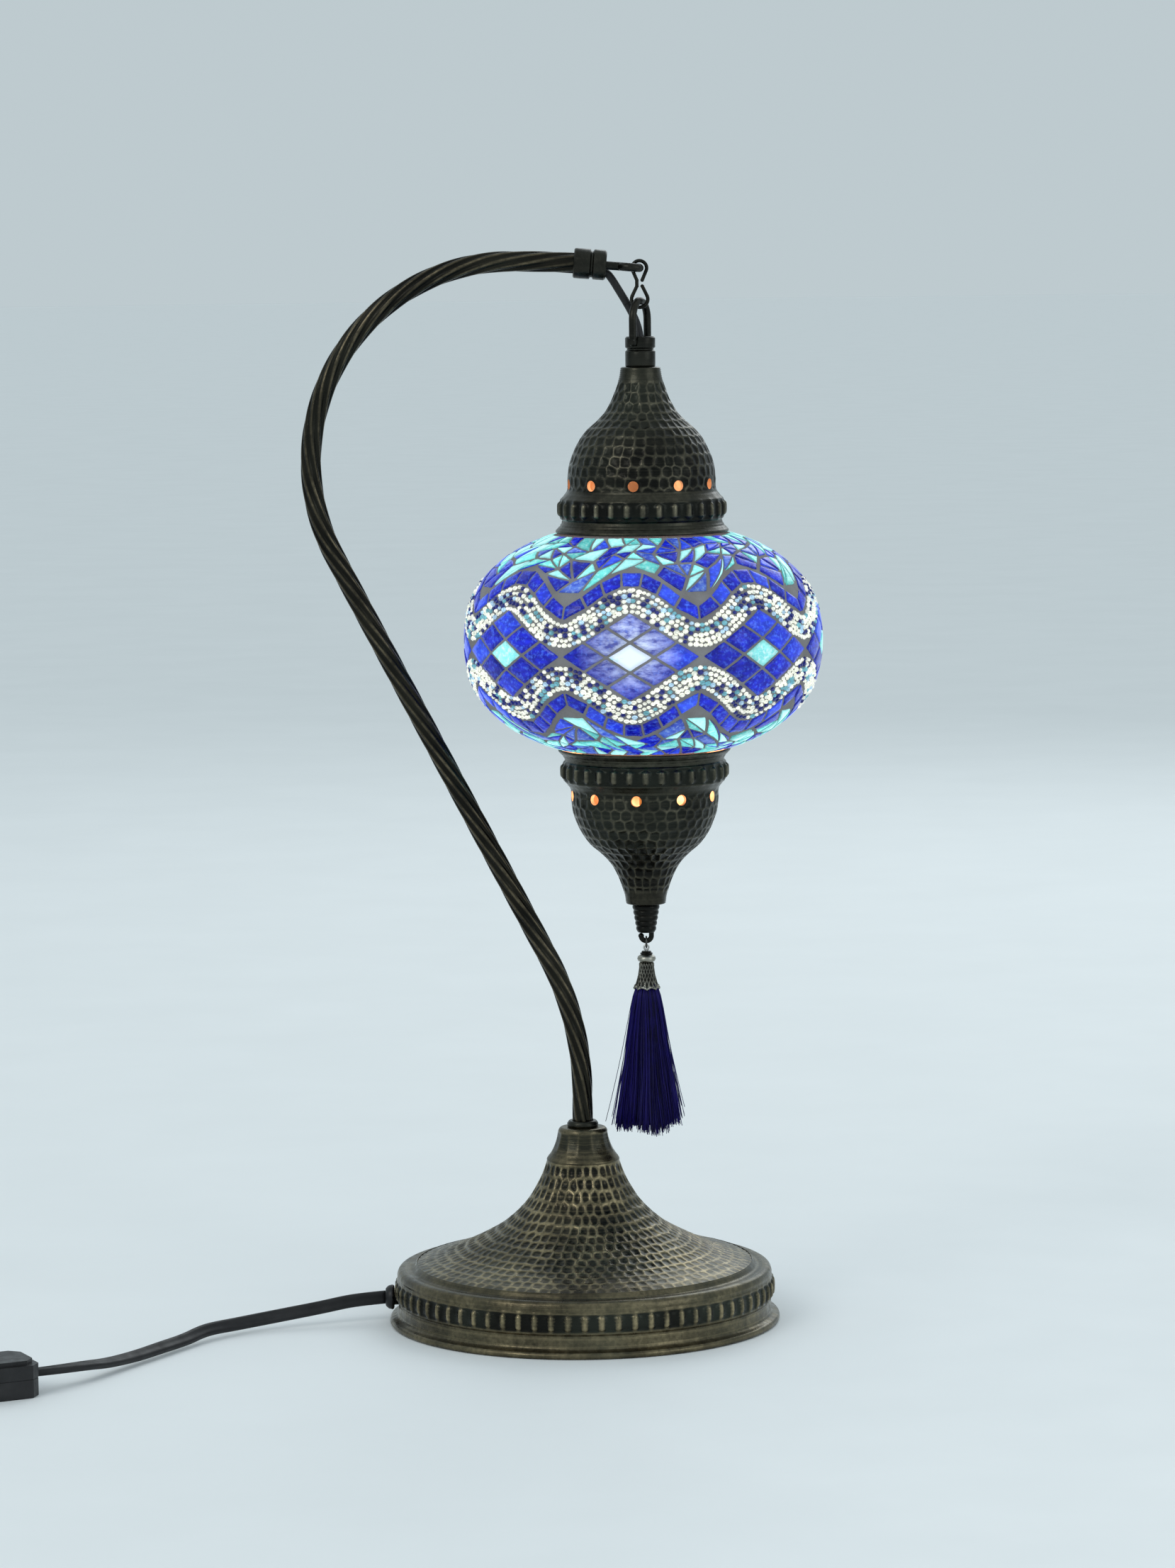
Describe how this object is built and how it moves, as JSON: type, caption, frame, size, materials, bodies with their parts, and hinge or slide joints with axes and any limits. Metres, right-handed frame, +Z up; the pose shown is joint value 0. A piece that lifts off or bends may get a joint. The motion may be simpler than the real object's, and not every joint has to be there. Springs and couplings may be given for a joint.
{
  "type": "mosaic glass table lamp",
  "caption": "Swan-neck table lamp: hammered brass base and arched arm, a mosaic glass globe hung between bell caps on a wire link, a silk tassel and a corded switch.",
  "frame": {"origin": "centre of the base's underside, on the table, on the base's own axis", "axes": "+Z up; the arm stands in the XZ plane, bows out to -X and carries the globe at +X; the cord leaves the base at -X"},
  "size_m": [0.5088, 0.2637, 0.4817],
  "materials": {
    "old_brass": "antique, hammered and rubbed",
    "dark_brass": "dark antique patina",
    "steel": "zinc plated",
    "cast_iron": "rough",
    "felt": "felt",
    "black_plastic": "satin",
    "insulation": "satin",
    "porcelain": "glazed",
    "contact_brass": "plain",
    "opal_glass": "opal, lit",
    "clear_glass": "blown",
    "grout": "matt",
    "cobalt_glass": "textured, glossy",
    "blue_glass": "textured, glossy",
    "turquoise_glass": "textured, glossy",
    "seed_beads": "polished beads",
    "antique_silver": "antique silver, cast filigree",
    "wire_steel": "blackened wire",
    "silk": "silk thread",
    "pin_metal": "nickel plated"
  },
  "bodies": {
    "stand": {"base_shell": "old_brass", "base_weight": "cast_iron", "base_plate": "steel", "felt_pad": "felt", "cord_bush": "black_plastic", "stem_seat": "dark_brass", "stem_washer": "steel", "stem_nut": "steel", "arm_tube": "old_brass", "arm_collar": "dark_brass", "arm_eye": "dark_brass", "base_lead": "insulation", "arm_lead": "insulation", "supply_cord": "insulation", "switch_tray": "black_plastic", "switch_lid": "black_plastic", "switch_screws": "steel", "tail_cord": "insulation", "cord_coil": "insulation", "plug_cord": "insulation", "plug_body": "black_plastic", "plug_pins": "pin_metal"},
    "link": {"hanging_link": "wire_steel", "hanging_lead": "insulation"},
    "pendant": {"bail": "dark_brass", "bail_rivets": "dark_brass", "ferrule": "dark_brass", "nipple": "old_brass", "neck_nut": "steel", "top_cap": "dark_brass", "holder_cap": "black_plastic", "holder_body": "porcelain", "bulb_base": "contact_brass", "bulb_glass": "opal_glass", "upper_plate": "steel", "frame_rods": "steel", "lower_plate": "steel", "tie_stud": "old_brass", "tie_nut": "steel", "globe_glass": "clear_glass", "grout_layer": "grout", "diamond_tiles": "cobalt_glass", "diamond_centres": "turquoise_glass", "border_tiles": "cobalt_glass", "cobalt_shards": "cobalt_glass", "blue_shards": "blue_glass", "turquoise_shards": "turquoise_glass", "upper_bead_band": "seed_beads", "lower_bead_band": "seed_beads", "bottom_cap": "dark_brass", "finial": "dark_brass", "finial_hook": "dark_brass"},
    "ring": {"jump_ring": "wire_steel"},
    "tassel": {"head_pin": "antique_silver", "tassel_bead": "antique_silver", "tassel_disc": "antique_silver", "tassel_cap": "antique_silver", "tassel_skirt": "silk"},
    "rocker": {"switch_rocker": "black_plastic"}
  },
  "joints": [
    {"name": "link_swing", "type": "hinge", "parent": "stand", "child": "link", "pos_m": [0.0295, 0, 0.4725], "axis": [0, 1, 0], "range_deg": [-12, 0.3]},
    {"name": "pendant_swing", "type": "hinge", "parent": "link", "child": "pendant", "pos_m": [0.0295, 0, 0.4551], "axis": [1, 0, 0], "range_deg": [-8, 8]},
    {"name": "ring_swing", "type": "hinge", "parent": "pendant", "child": "ring", "pos_m": [0.0295, 0, 0.172], "axis": [1, 0, 0], "range_deg": [-20, 20]},
    {"name": "tassel_swing", "type": "hinge", "parent": "ring", "child": "tassel", "pos_m": [0.0295, 0, 0.16905], "axis": [0, 1, 0], "range_deg": [-20, 0.6]},
    {"name": "switch_rock", "type": "hinge", "parent": "stand", "child": "rocker", "pos_m": [-0.265, -0.1505, 0.013], "axis": [0.4472, -0.8944, 0], "range_deg": [-14, 0]}
  ]
}
